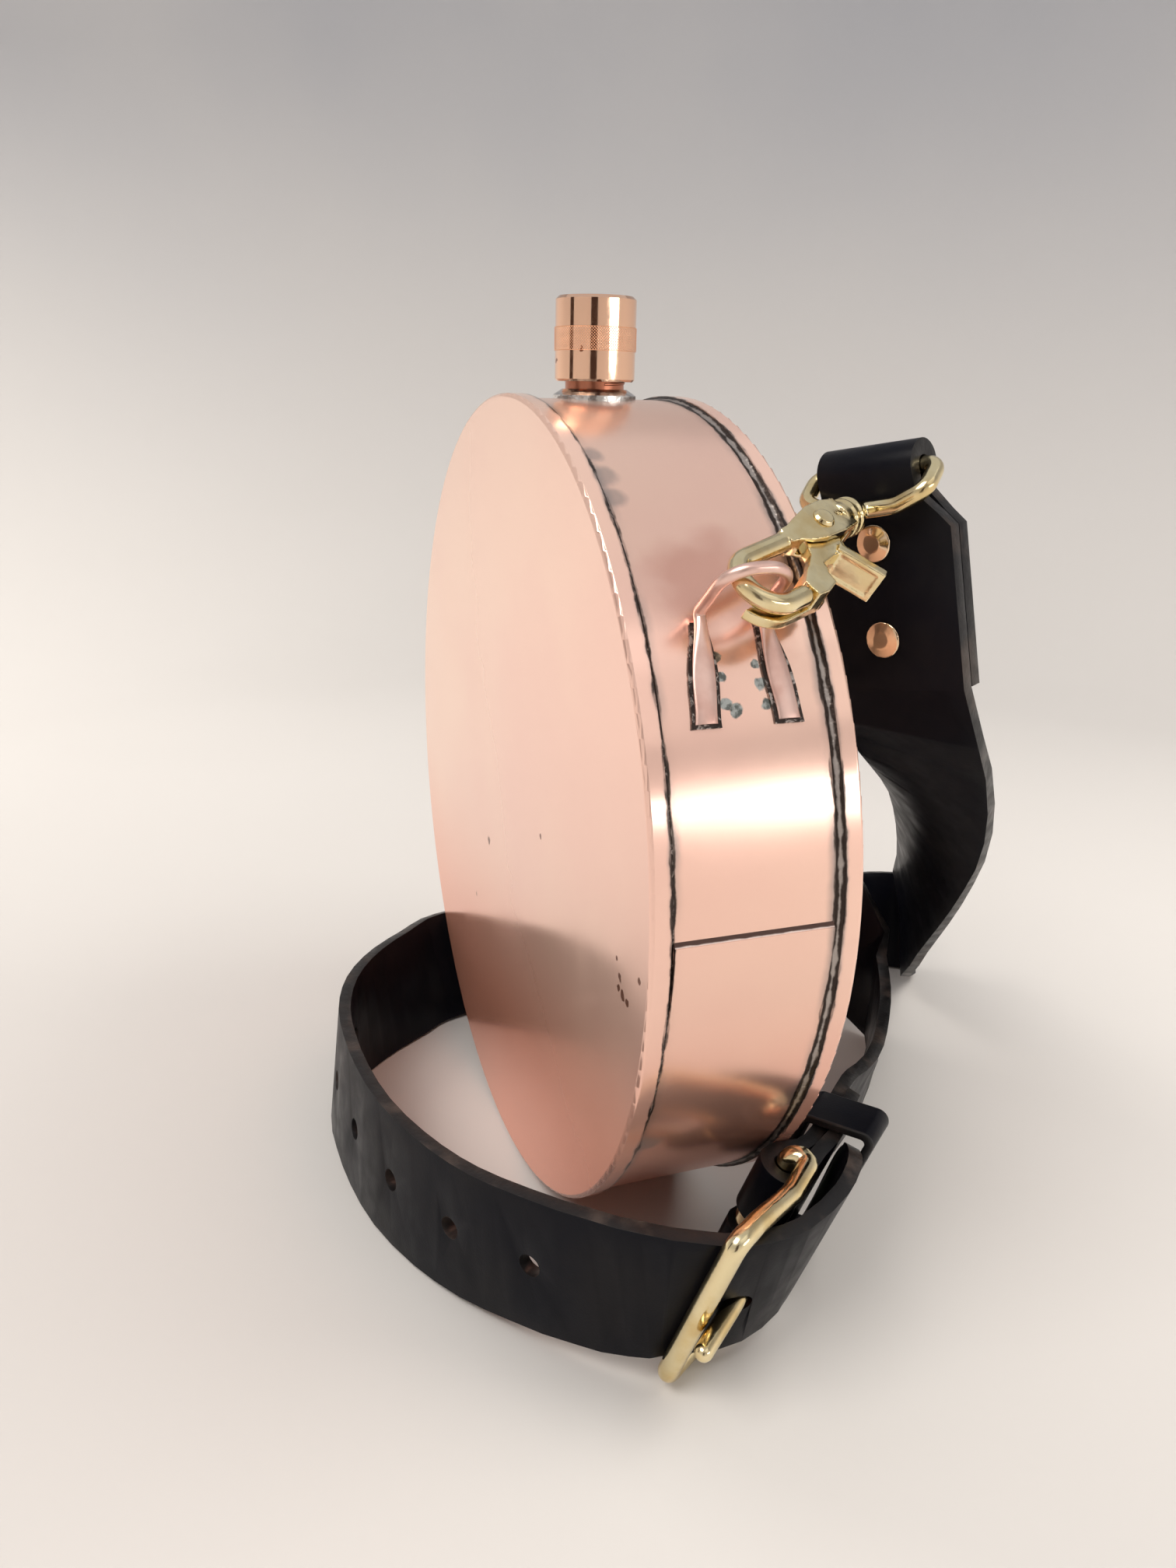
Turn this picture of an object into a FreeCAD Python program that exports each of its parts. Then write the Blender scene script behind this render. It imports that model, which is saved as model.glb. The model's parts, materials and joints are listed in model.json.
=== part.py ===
"""Round copper canteen: a flat drum soldered from two covers and a band, with a screw cap,
two wire loops on the shoulder, and a buckled leather strap that snaps onto the loops.

Millimetres, +Z up.  The origin is the centre of the rear cover's outer face and +Y points out
of that face, so the drum lies between y = -DRUM_T and y = 0 and stands on z = -DRUM_R.
The drum rests on its rim and the strap lies round it on the same surface.
"""
import FreeCAD, Part
import math
import os
from FreeCAD import Matrix, Placement, Rotation
from FreeCAD import Vector as V

os.makedirs("parts", exist_ok=True)

# ---- drum: two pan-shaped covers over a rolled band ----------------------------------------
DRUM_R = 100.0           # outer radius of the covers
DRUM_T = 44.7            # thickness over both covers
SHEET = 1.0              # copper sheet of covers and band
SKIRT = 4.2              # depth of the turned lip of a cover
LIP_R = 0.9              # outside bend radius of the lip
LAP_DEG = 1.7            # where the band's lap ends, above the horizontal
LAP_RUN_DEG = 10.0       # length over which the lap rises from the band
BEAD_FRONT = 0.8         # leg of the front seam's solder
BEAD_REAR = 1.6          # leg of the rear seam's solder

# ---- neck and screw cap --------------------------------------------------------------------
NECK_R = 7.0
NECK_BORE_R = 5.5
NECK_UP = 12.0           # neck above the top of the drum
NECK_IN = 3.0            # neck end inside the drum, below its top
NECK_SOLDER_R = 9.9
NECK_SOLDER_UP = 1.2
CAP_R = 9.5
CAP_H = 18.8
CAP_UP = 2.9             # underside of the cap above the top of the drum
CAP_BORE_CLEAR = 0.3     # thread clearance, radial
KNURL_PROUD = 0.12
KNURL_FROM = 0.36
KNURL_TO = 0.64
LINER_T = 1.3
LINER_CLEAR = 0.1        # liner to mouth, liner to cap

# ---- wire loops on the shoulder ------------------------------------------------------------
LOOP_WIRE = 2.4
LOOP_FOOT_LOW = 25.5     # angles on the rim, from the horizontal
LOOP_FOOT_TOP = 37.0
LOOP_FOOT_Y = 8.6        # half distance between the feet, low end
LOOP_TOP_Y = 6.6         # half distance at the arch
LOOP_FOOT_END = LOOP_WIRE + 0.12  # foot's upper end, just over the wire
LOOP_SUNK = 0.2                   # how far a foot is let into the band's line
LOOP_LEAN = 52.0         # of the arch, outward from the vertical
LOOP_RISE = 16.0         # of the arch above the top of the feet, along its lean
LOOP_FLAT_W = 4.6
LOOP_FLAT_T = 1.3
LOOP_FLAT_PART = 0.5      # share of a foot that is flattened evenly
LOOP_SOLDER_T = 0.4
LOOP_SOLDER_EDGE = 0.8
HAIR = 1e-7              # keeps a round section's axes in order

# ---- trigger snap hook, in its own frame: u to the nose, v to the trigger, w across ---------
HOOK_PIN_OUT = 72.2      # place of the lever's pin: out from the drum's axis,
HOOK_PIN_BACK = 21.2     # back from its middle, up from its axis
HOOK_PIN_UP = 75.6
HOOK_U = V(0.47, -0.866, -0.166)
HOOK_W = V(0.58, 0.165, 0.80)
BOW_D = 4.0
BOW_R = 6.0              # centre line of the nose
BOW_U = 23.5             # centre of the nose arc
BOW_TIP_U = 19.5
BODY_HALF = 3.1          # half thickness over the cheeks
SLOT_HALF = 1.6
BARREL_D = 7.6
BARREL_U = -12.5         # outer end of the barrel
STEM_D = 3.6
STEM_CLEAR = 0.08
PIN_D = 3.0
PIN_CLEAR = 0.05
PIN_HEAD_D = 4.8
PIN_HEAD_H = 0.8
LEVER_T = 2.8
LEVER_BOSS_R = 2.95
SPRING_WIRE = 0.5
SPRING_COILS = 3
EYE_WIRE = 3.6
EYE_W = 32.0             # over the ring
EYE_FRONT = 3.6          # front bar beyond the barrel
EYE_BACK = 12.6          # rear bar beyond the barrel
EYE_RISE = 6.5           # the rear bar stands this much off the stem's axis
EYE_SWIVEL = 46.0        # how far the eye lies turned round its stem

# ---- strap ---------------------------------------------------------------------------------
STRAP_W = 35.0
STRAP_T = 3.3
STRAP_NECK_W = 22.0      # where it passes round the eye
FOLD_CLEAR = 0.3         # leather to bar
FOLD_LEN = 46.0          # folded end, down from the bar
PLY_GAP = 0.3            # between two plies
RIVET_D = 3.4
RIVET_HEAD_D = 8.0
RIVET_HEAD_H = 1.3
RIVET_CLEAR = 0.1
RIVET_1 = 14.5           # rivets, down from the bar
RIVET_2 = 35.0
HOLE_D = 5.5
HOLE_STEP = 24.0
HOLE_COUNT = 7
STRAP_STEPS = (0.0, 0.5)  # sections between two rows
TIP_R = 12.0             # corner radius of the strap's free end

# ---- buckle --------------------------------------------------------------------------------
BUCKLE_WIRE = 4.7
BUCKLE_SIDE = 1.3        # strap's edge to a rail
BUCKLE_H = STRAP_W + 2 * BUCKLE_SIDE + BUCKLE_WIRE  # between the centres of the two rails
BUCKLE_LEN = 32.6        # from the heel bar to the front bar
HEEL_OUT = 83.4          # place of the heel bar's middle: out from the drum's axis
HEEL_BACK = 13.5         # back from the drum's middle
HEEL_OFF = 0.4           # lower rail off the ground, were the buckle upright
HEEL_UP = (BUCKLE_H + BUCKLE_WIRE) / 2 + HEEL_OFF
TONGUE_D = 4.0
KEEPER_W = 12.0
KEEPER_T = 2.2

HALF_T = DRUM_T / 2


def place(x, y, z):
    """A point given out from the drum's axis, back from its middle and up from the ground."""
    return V(x, y - HALF_T, z - DRUM_R)


def unit(v):
    w = V(v)
    w.normalize()
    return w


def frame(origin, u, w):
    """Placement whose x is u and whose z is w, made square to u."""
    u = unit(u)
    w = unit(w - u * w.dot(u))
    v = w.cross(u)
    m = Matrix(u.x, v.x, w.x, origin.x, u.y, v.y, w.y, origin.y, u.z, v.z, w.z, origin.z,
               0, 0, 0, 1)
    return Placement(m)


def placed(shape, placement):
    s = shape.copy()
    s.Placement = placement.multiply(s.Placement)
    return s


def mirrored(shape):
    return shape.mirror(V(0, 0, 0), V(1, 0, 0))


def cyl(r, base, direction, length):
    return Part.makeCylinder(r, length, base, direction)


def box(x0, x1, y0, y1, z0, z1):
    return Part.makeBox(x1 - x0, y1 - y0, z1 - z0, V(x0, y0, z0))


def prism(points, z0, z1):
    """Closed outline in x and y, from z0 to z1."""
    pts = [V(x, y, z0) for x, y in points]
    face = Part.Face(Part.makePolygon(pts + pts[:1]))
    return face.extrude(V(0, 0, z1 - z0))


def revolve(points, origin, axis, across):
    """Turn a closed outline of (radius, height) about an axis; across is the radius' way."""
    pts = [origin + across * r + axis * h for r, h in points]
    face = Part.Face(Part.makePolygon(pts + pts[:1]))
    return face.revolve(origin, axis, 360)


def rounded(points, radii):
    """Wire through points, with an arc of its own radius at each inner point."""
    edges = []
    last = points[0]
    for i in range(1, len(points) - 1):
        a, b, c = points[i - 1], points[i], points[i + 1]
        u, w = unit(a - b), unit(c - b)
        turn = math.pi - u.getAngle(w)
        r = radii[i - 1]
        t = r * math.tan(turn / 2)
        p, q = b + u * t, b + w * t
        mid = b + unit(u + w) * (r / math.cos(turn / 2) - r)
        if (p - last).Length > 1e-6:
            edges.append(Part.LineSegment(last, p).toShape())
        edges.append(Part.Arc(p, mid, q).toShape())
        last = q
    if (points[-1] - last).Length > 1e-6:
        edges.append(Part.LineSegment(last, points[-1]).toShape())
    return Part.Wire(edges)


def rod(wire, r):
    """Round rod along a wire of lines and arcs."""
    first = wire.OrderedEdges[0]
    start = first.valueAt(first.FirstParameter)
    along = first.tangentAt(first.FirstParameter)
    ring = Part.Wire(Part.makeCircle(r, start, along))
    return wire.makePipeShell([ring], True, False)


def fuse(shapes):
    return shapes[0].multiFuse(shapes[1:]).removeSplitter()


def save(name, shape):
    solids = shape.Solids
    out = solids[0] if len(solids) == 1 else Part.makeCompound(solids)
    out.exportStep("parts/%s.step" % name)
    print("%-20s %d solid  valid %s  volume %.1f" % (name, len(solids), out.isValid(), out.Volume))
    return out


X, Y, Z = V(1, 0, 0), V(0, 1, 0), V(0, 0, 1)
O = V(0, 0, 0)


# ---- drum ----------------------------------------------------------------------------------
def cover(face_y, inward):
    """Pan: a disc with a lip turned inward; inward is +1 or -1 along Y."""
    r, s = DRUM_R, SHEET
    pan = revolve([(0, 0), (r, 0), (r, SKIRT), (r - s, SKIRT), (r - s, s), (0, s)],
                  V(0, face_y, 0), Y * inward, X)
    rim = [e for e in pan.Edges if abs(e.BoundBox.YMin - face_y) < 1e-6
           and abs(e.BoundBox.YMax - face_y) < 1e-6 and e.BoundBox.XMax > r - 0.01]
    return pan.makeFillet(LIP_R, rim)


BAND_R = DRUM_R - SHEET
front_cover = cover(-DRUM_T, 1)
rear_cover = cover(0, -1)

band = cyl(BAND_R, V(0, -DRUM_T + SHEET, 0), Y, DRUM_T - 2 * SHEET)
band = band.cut(cyl(BAND_R - SHEET, V(0, -DRUM_T, 0), Y, DRUM_T))


def rim_point(r, deg, y):
    a = math.radians(deg)
    return V(r * math.cos(a), y, r * math.sin(a))


lap_y0 = -DRUM_T + SKIRT + BEAD_FRONT + 0.1
lap_y1 = -SKIRT - BEAD_REAR - 0.1
under = LAP_DEG - LAP_RUN_DEG
lap_edges = [
    Part.Arc(rim_point(BAND_R, under, lap_y0), rim_point(BAND_R, (under + LAP_DEG) / 2, lap_y0),
             rim_point(BAND_R, LAP_DEG, lap_y0)).toShape(),
    Part.LineSegment(rim_point(BAND_R, LAP_DEG, lap_y0),
                     rim_point(BAND_R + 0.8 * SHEET, LAP_DEG, lap_y0)).toShape(),
    Part.Arc(rim_point(BAND_R + 0.8 * SHEET, LAP_DEG, lap_y0),
             rim_point(BAND_R + 0.5 * SHEET, (under + LAP_DEG) / 2, lap_y0),
             rim_point(BAND_R, under, lap_y0)).toShape()]
lap = Part.Face(Part.Wire(lap_edges)).extrude(Y * (lap_y1 - lap_y0))
neck_hole = cyl(NECK_R, V(0, -HALF_T, 0), Z, DRUM_R * 1.2)
band = band.fuse(lap).cut(neck_hole).removeSplitter()

lap_corner = rim_point(BAND_R, LAP_DEG, lap_y0)
lap_out = rim_point(1, LAP_DEG, 0)
lap_up = V(-lap_out.z, 0, lap_out.x)
lap_pts = [lap_corner, lap_corner + lap_out * (0.6 * SHEET), lap_corner + lap_up * SHEET]
band_seam_solder = Part.Face(Part.makePolygon(lap_pts + lap_pts[:1])).extrude(Y * (lap_y1 - lap_y0))
band_seam_solder = band_seam_solder.cut(
    cyl(BAND_R, V(0, -DRUM_T, 0), Y, DRUM_T))


def bead(edge_y, inward, leg):
    """Solder fillet in the corner between a lip's edge and the band."""
    high = 0.8 * SHEET
    return revolve([(BAND_R, 0), (BAND_R + high, 0), (BAND_R + 0.45 * high, 0.35 * leg),
                    (BAND_R, leg)], V(0, edge_y, 0), Y * inward, X)


front_seam_solder = bead(-DRUM_T + SKIRT, 1, BEAD_FRONT)
rear_seam_solder = bead(-SKIRT, -1, BEAD_REAR)

# ---- neck and cap --------------------------------------------------------------------------
NECK_AT = V(0, -HALF_T, DRUM_R)
neck = revolve([(NECK_BORE_R, -NECK_IN), (NECK_R, -NECK_IN), (NECK_R, NECK_UP - 0.6),
                (NECK_R - 0.6, NECK_UP), (NECK_BORE_R, NECK_UP)], NECK_AT, Z, X)
neck_solder = revolve([(NECK_R, -1.9), (NECK_SOLDER_R, -1.9), (NECK_SOLDER_R, -0.2),
                       (NECK_SOLDER_R - 1.0, 0.5), (NECK_R + 0.7, NECK_SOLDER_UP),
                       (NECK_R, NECK_SOLDER_UP)], NECK_AT, Z, X)
neck_solder = neck_solder.cut(cyl(BAND_R, V(0, -DRUM_T, 0), Y, DRUM_T))

mouth = NECK_UP - CAP_UP                       # top of the neck above the cap's underside
bore_r = NECK_R + CAP_BORE_CLEAR
bore_top = mouth + LINER_T + 2 * LINER_CLEAR
k0, k1 = CAP_H * KNURL_FROM, CAP_H * KNURL_TO
cap = revolve([(bore_r, 0), (CAP_R - 0.5, 0), (CAP_R, 0.5), (CAP_R, k0),
               (CAP_R + KNURL_PROUD, k0 + KNURL_PROUD), (CAP_R + KNURL_PROUD, k1 - KNURL_PROUD),
               (CAP_R, k1), (CAP_R, CAP_H - 0.7), (CAP_R - 0.7, CAP_H), (0, CAP_H),
               (0, bore_top), (bore_r, bore_top)], NECK_AT + Z * CAP_UP, Z, X)
cap_liner = cyl(bore_r - LINER_CLEAR, NECK_AT + Z * (NECK_UP + LINER_CLEAR), Z, LINER_T)


# ---- wire loop and its solder --------------------------------------------------------------
def flat_ellipse(centre, along, out, w, t):
    """Section of a foot, w across and t thick; w stays the longer, by a hair where it is round."""
    side = along.cross(out)
    return Part.Wire(Part.Ellipse(centre + side * (max(w, t) / 2 + HAIR), centre + out * (t / 2),
                                  centre).toShape())


def wire_loop():
    r = LOOP_WIRE / 2
    drum = cyl(BAND_R, V(0, -DRUM_T, 0), Y, DRUM_T)
    parts, pads, tops = [], [], []
    for side in (-1, 1):
        sections, rims = [], []
        steps = 5
        for i in range(steps):
            f = i / (steps - 1)
            deg = LOOP_FOOT_LOW + (LOOP_FOOT_TOP - LOOP_FOOT_LOW) * f
            g = max(0.0, (f - LOOP_FLAT_PART) / (1 - LOOP_FLAT_PART))
            w = LOOP_FLAT_W + (LOOP_FOOT_END - LOOP_FLAT_W) * g
            t = LOOP_FLAT_T + (LOOP_FOOT_END - LOOP_FLAT_T) * g
            y = side * (LOOP_FOOT_Y + (LOOP_TOP_Y - LOOP_FOOT_Y) * f) - HALF_T
            out = rim_point(1, deg, 0)
            along = V(-out.z, 0, out.x)
            c = rim_point(BAND_R + t / 2 - LOOP_SUNK + 2 * LOOP_SUNK * f, deg, y)
            sections.append(flat_ellipse(c, along, out, w, t))
            low = along * (LOOP_SOLDER_EDGE if i == 0 else 0)
            rims.append(flat_ellipse(c - low, along, out, w + 2 * LOOP_SOLDER_EDGE,
                                     t + 2 * LOOP_SOLDER_EDGE))
        parts.append(Part.makeLoft(sections, True, False))
        tops.append(c)
        pads.append(Part.makeLoft(rims, True, False))
    lean = math.radians(LOOP_LEAN)
    up = V(math.sin(lean), 0, math.cos(lean))
    foot_way = unit(V(-tops[0].z, 0, tops[0].x))
    a, b = tops
    a1, b1 = a + foot_way * 1.6, b + foot_way * 1.6
    rise = up * LOOP_RISE
    path = rounded([a - foot_way * 0.4, a1, a1 + rise, b1 + rise, b1, b - foot_way * 0.4],
                   [1.4, LOOP_TOP_Y * 0.9, LOOP_TOP_Y * 0.9, 1.4])
    parts.append(rod(path, r))
    loop = parts[0].multiFuse(parts[1:]).cut(drum)
    shell = cyl(BAND_R + LOOP_SOLDER_T, V(0, -DRUM_T, 0), Y, DRUM_T).cut(drum)
    solder = Part.makeCompound(pads).common(shell).cut(loop)
    return loop, solder


right_loop, right_loop_solder = wire_loop()

# ---- trigger snap hook ---------------------------------------------------------------------
LEVER_GAP = 0.3


def hook_body():
    h = BODY_HALF
    r = BOW_D / 2
    outline = [(-8, -3.6), (-4, -4.4), (1, -4.3), (6, -3.2), (9.5, -2.3), (11.5, -2.3),
               (11.5, 1.3), (9.5, 1.7), (6.5, 3.2), (3, 4.1), (-3, 4.3), (-8, 3.8)]
    plate = prism(outline, -h, h)
    # cheeks thin down towards the bow
    for s in (1, -1):
        wedge = [V(3, -9, s * h), V(12.5, -9, s * h), V(12.5, -9, s * r)]
        plate = plate.cut(Part.Face(Part.makePolygon(wedge + wedge[:1])).extrude(Y * 18))
    barrel = cyl(BARREL_D / 2, V(BARREL_U, 0, 0), X, -8 + 1.5 - BARREL_U)
    for u in (BARREL_U + 0.5, BARREL_U + 2.6):
        barrel = barrel.fuse(cyl(BARREL_D / 2 + 0.35, V(u, 0, 0), X, 1.0))
    v0 = -0.5
    bow = rounded([V(10, v0, 0), V(BOW_U + BOW_R, v0, 0), V(BOW_U + BOW_R, v0 + 2 * BOW_R, 0),
                   V(BOW_TIP_U, v0 + 2 * BOW_R, 0)], [BOW_R - 0.001, BOW_R - 0.001])
    body = plate.multiFuse([barrel, rod(bow, r), Part.makeSphere(r, V(BOW_TIP_U, v0 + 2 * BOW_R, 0))])
    slot = prism([(-5.5, -3.3), (8.6, -3.3), (8.6, 9), (-5.5, 9)], -SLOT_HALF, SLOT_HALF)
    bore = cyl(STEM_D / 2 + STEM_CLEAR, V(BARREL_U - 1, 0, 0), X, 10)
    cavity = cyl(STEM_D / 2 + 1.2, V(-7.4, 0, 0), X, 3)
    hole = cyl(PIN_D / 2 + PIN_CLEAR, V(0, 0, -9), Z, 18)
    return body.cut(slot).cut(bore).cut(cavity).cut(hole).removeSplitter()


def hook_lever():
    t = LEVER_T / 2
    boss = cyl(LEVER_BOSS_R, V(0, 0, -t), Z, LEVER_T)
    arm = prism([(-2.6, 1), (-1.8, 4.0), (-0.5, 7.8), (1.5, 7.8), (4, 7.4), (8.4, 7.9),
                 (9, 9.5), (13, 13.4), (BOW_TIP_U - 2.4, 13.2), (BOW_TIP_U - 2.4, 9.8),
                 (12.6, 7.0), (9.4, 5.0), (7.2, 1.5), (3.2, -1.2)], -t, t)
    paddle = prism([(0.9, 5.8), (2.8, 6.8), (-1.3, 16.6), (-3.4, 15.8)], -5.0, 2.2)
    dish = prism([(2.2, 7.8), (3.6, 8.4), (0.4, 16), (-1.0, 15.4)], -4.0, 1.2)
    riser = prism([(9.2, 7.4), (10.2, 12.6), (14, 13.6), (BOW_TIP_U - 2.4, 13.4),
                   (BOW_TIP_U - 2.4, 9.6), (13, 7.0)], -4.6, t)
    v0 = -0.5 + BOW_R
    outer, inner = BOW_R + 2.0, BOW_R - 1.6
    lip = cyl(outer, V(BOW_U, v0, -4.6), Z, 2.2).cut(cyl(inner, V(BOW_U, v0, -5), Z, 3))
    lip = lip.cut(box(-60, BOW_U, -60, 60, -9, 9)).cut(box(-60, 60, -60, v0 + 2.2, -9, 9))
    shelf = prism([(12, v0 + inner), (BOW_U, v0 + inner), (BOW_U, v0 + outer), (12, v0 + outer)],
                  -4.6, -2.4)
    lever = boss.multiFuse([arm, paddle, riser, lip, shelf]).cut(dish)
    hole = cyl(PIN_D / 2 + PIN_CLEAR, V(0, 0, -9), Z, 18)
    nest = cyl(PIN_D / 2 + SPRING_WIRE + 0.3, V(0, 0, -SPRING_COILS * SPRING_WIRE / 2 - 0.25), Z,
               SPRING_COILS * SPRING_WIRE + 0.5)
    return lever.cut(hole).cut(nest).removeSplitter()


def hook_pin():
    half = BODY_HALF + 0.02
    pin = cyl(PIN_D / 2, V(0, 0, -half), Z, 2 * half)
    for s in (1, -1):
        head = Part.makeCone(PIN_HEAD_D / 2, PIN_HEAD_D / 2 - 0.6, PIN_HEAD_H, V(0, 0, s * half),
                             Z * s)
        pin = pin.fuse(head)
    return pin.removeSplitter()


def hook_spring():
    r = PIN_D / 2 + SPRING_WIRE / 2 + 0.15
    coils = []
    for i in range(SPRING_COILS):
        z = (i - (SPRING_COILS - 1) / 2) * SPRING_WIRE
        coils.append(Part.makeTorus(r, SPRING_WIRE / 2 + 0.02, V(0, 0, z), Z))
    return coils[0].multiFuse(coils[1:])


def swivel_eye():
    """In its own frame: x along the stem away from the hook, y along the bars."""
    r = EYE_WIRE / 2
    half = EYE_W / 2 - r
    b = -BARREL_U
    f, k = b + EYE_FRONT, b + EYE_BACK
    path = [V(f + 1.0, 0, 0), V(f + 1.4, half * 0.55, 0.2), V(f + 2.6, half, EYE_RISE * 0.4),
            V(k, half, EYE_RISE), V(k, 0, EYE_RISE)]
    side = rod(rounded(path, [6, 3.0, 2.6]), r)
    ring = side.fuse(side.mirror(O, Y))
    stem = cyl(STEM_D / 2, V(6.1, 0, 0), X, f + 0.6 - 6.1)
    head = cyl(STEM_D / 2 + 0.9, V(5.9, 0, 0), X, 1.2)
    collar = Part.makeCone(BARREL_D / 2 - 0.4, STEM_D / 2 + 0.2, EYE_FRONT - 0.3, V(b + 0.3, 0, 0), X)
    eye = ring.multiFuse([stem, head, collar, Part.makeSphere(r, V(f + 1.0, 0, 0))])
    return eye.removeSplitter()


PIN_AT = place(HOOK_PIN_OUT, HOOK_PIN_BACK, HOOK_PIN_UP + DRUM_R)
HOOK = frame(PIN_AT, HOOK_U, HOOK_W)
hook_v = HOOK.Rotation.multVec(Y)
hook_w = HOOK.Rotation.multVec(Z)
hook_u = HOOK.Rotation.multVec(X)
swing = math.radians(EYE_SWIVEL)
bar_way = hook_v * math.cos(swing) + hook_w * math.sin(swing)
eye_up = hook_w * math.cos(swing) - hook_v * math.sin(swing)
EYE = frame(PIN_AT, hook_u * -1, eye_up)

hook = {
    "hook_body": placed(hook_body(), HOOK),
    "hook_lever": placed(hook_lever(), HOOK),
    "hook_pin": placed(hook_pin(), HOOK),
    "hook_spring": placed(hook_spring(), HOOK),
    "swivel_eye": placed(swivel_eye(), EYE),
}
BAR_AT = EYE.multVec(V(-BARREL_U + EYE_BACK, 0, EYE_RISE))

# ---- strap ---------------------------------------------------------------------------------
def hermite(p, q, m, n, f):
    """Point a share f along the cubic from p to q with end slopes m and n."""
    return (p * (2 * f ** 3 - 3 * f ** 2 + 1) + m * (f ** 3 - 2 * f ** 2 + f)
            + q * (3 * f ** 2 - 2 * f ** 3) + n * (f ** 3 - f ** 2))


def route(rows, first, last):
    """Stations (centre, heading, way across) along a smooth curve through the rows."""
    points = [c for c, w in rows]
    ways = [w for c, w in rows]
    heads = [unit(first)]
    for a, b, c in zip(points, points[1:], points[2:]):
        heads.append(unit(unit(b - a) * (c - b).Length + unit(c - b) * (b - a).Length))
    heads.append(unit(last))
    turns = [ways[1] - ways[0]] + [(b - a) * 0.5 for a, b in zip(ways, ways[2:])]
    turns.append(ways[-1] - ways[-2])
    stations = []
    for i in range(len(points) - 1):
        step = (points[i + 1] - points[i]).Length
        slopes = heads[i] * step, heads[i + 1] * step
        for f in STRAP_STEPS:
            c = hermite(points[i], points[i + 1], *slopes, f)
            ahead_c = hermite(points[i], points[i + 1], *slopes, f + 0.01)
            way = hermite(ways[i], ways[i + 1], turns[i], turns[i + 1], f)
            stations.append((c, unit(ahead_c - c) if f else heads[i], way))
    stations.append((points[-1], heads[-1], ways[-1]))
    return stations


def slab(rows, first, last):
    """Flat leather strip through rows of (centre, way across), with its end headings."""
    sections = [strip_section(*station) for station in route(rows, first, last)]
    return Part.makeLoft(sections, True, True)


def strip_section(c, along, way, width=None):
    way = unit(way - along * way.dot(along))
    out = way.cross(along)
    w = way * ((width or STRAP_W) / 2)
    t = out * (STRAP_T / 2)
    pts = [c + w + t, c + w - t, c - w - t, c - w + t]
    return Part.makePolygon(pts + pts[:1])


def standing(x, y, lift, lean_x, lean_y):
    """Row of a strip on edge: place at half height, how high its lower edge, how it leans."""
    lean = math.hypot(lean_x, lean_y)
    rise = math.sqrt(STRAP_W ** 2 - lean ** 2)
    corner = STRAP_T / 2 * lean / STRAP_W
    return place(x, y, lift + corner + rise / 2), unit(V(lean_x, lean_y, rise))


class Fold:
    """The strap's end folded round the bar of an eye: x down the strap, y out of its face."""

    def __init__(self, bar, bar_way, down):
        z = unit(bar_way)
        x = unit(down - z * down.dot(z))
        self.place = frame(bar, x, z)
        self.ro = EYE_WIRE / 2 + FOLD_CLEAR + STRAP_T
        self.ri = EYE_WIRE / 2 + FOLD_CLEAR
        self.ply = (PLY_GAP + STRAP_T) / 2

    def shape(self):
        ro, ri, g = self.ro, self.ri, PLY_GAP / 2
        t = STRAP_T
        reach = RIVET_1 - RIVET_HEAD_D / 2 - 1.0
        end = FOLD_LEN
        top = [V(reach, g + t, 0), V(0.5, ro, 0)]
        arc_o = Part.Arc(V(0, ro, 0), V(-ro, 0, 0), V(0, -ro, 0)).toShape()
        arc_i = Part.Arc(V(0, ri, 0), V(-ri, 0, 0), V(0, -ri, 0)).toShape()

        def line(*p):
            return [Part.LineSegment(V(*a), V(*b)).toShape() for a, b in zip(p, p[1:])]
        edges = line((end, g + t, 0), (reach, g + t, 0), (0, ro, 0)) + [arc_o]
        edges += line((0, -ro, 0), (reach, -g - t, 0), (end, -g - t, 0), (end, -g, 0),
                      (reach, -g, 0), (0, -ri, 0))
        edges += [arc_i]
        edges += line((0, ri, 0), (reach, g, 0), (end, g, 0), (end, g + t, 0))
        face = Part.Face(Part.Wire(Part.sortEdges(edges)[0]))
        face.translate(V(0, 0, -STRAP_W / 2))
        fold = face.extrude(V(0, 0, STRAP_W))
        n, w = STRAP_NECK_W / 2, STRAP_W / 2 + 1
        for s in (1, -1):
            pts = [V(-20, 0, s * n), V(5.2, 0, s * n), V(13.5, 0, s * w), V(-20, 0, s * w)]
            side = Part.Face(Part.makePolygon(pts + pts[:1]))
            side.translate(V(0, -20, 0))
            fold = fold.cut(side.extrude(V(0, 40, 0)))
        for d in (RIVET_1, RIVET_2):
            fold = fold.cut(cyl(RIVET_D / 2 + RIVET_CLEAR, V(d, -20, 0), Y, 40))
        return placed(fold, self.place)

    def rivet(self, down):
        half = PLY_GAP / 2 + STRAP_T
        post = cyl(RIVET_D / 2, V(down, -half - 0.3, 0), Y, 2 * half + 0.6)
        for s in (1, -1):
            base = half + 0.1
            rim = cyl(RIVET_HEAD_D / 2, V(down, s * base, 0), Y * s, 0.5)
            dome = Part.makeCone(RIVET_HEAD_D / 2, RIVET_HEAD_D / 2 - 2.2, RIVET_HEAD_H - 0.5,
                                 V(down, s * (base + 0.5), 0), Y * s)
            post = post.multiFuse([rim, dome])
        return placed(post.removeSplitter(), self.place)

    def leave(self, side):
        """Where the long ply goes on from the fold: section centre, width way, heading."""
        at = self.place.multVec(V(FOLD_LEN, side * self.ply, 0))
        turn = self.place.Rotation
        return at, turn.multVec(Z), turn.multVec(X)


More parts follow.
